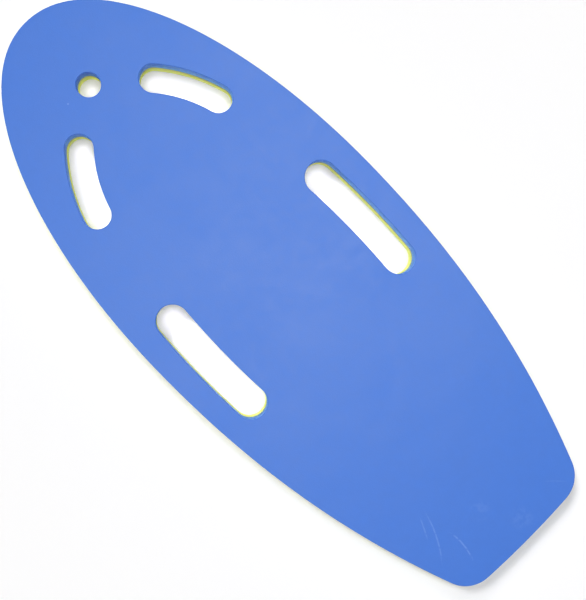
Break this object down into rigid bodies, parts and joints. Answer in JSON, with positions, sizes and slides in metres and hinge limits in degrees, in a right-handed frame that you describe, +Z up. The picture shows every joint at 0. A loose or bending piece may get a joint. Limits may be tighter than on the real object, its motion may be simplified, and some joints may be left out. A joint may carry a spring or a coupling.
{
  "type": "kickboard",
  "caption": "Flat foam swimming board with a surfboard outline, welded layers of unlike colour, hand slots beside the nose and along the sides, and a round hanging hole.",
  "frame": {"origin": "on the underside, below the middle of the board's length and on its centre line", "axes": "+X to the nose, +Y to the left as seen by a swimmer lying on the board, +Z up through the blue face"},
  "size_m": [0.8, 0.3288, 0.04],
  "materials": {
    "blue_foam": "satin skin of closed-cell polyethylene foam, mid blue",
    "yellow_foam": "satin closed-cell polyethylene foam, lemon yellow"
  },
  "bodies": {
    "root": {"top_foam_sheet": "blue_foam", "bottom_foam_sheet": "yellow_foam"}
  },
  "joints": []
}
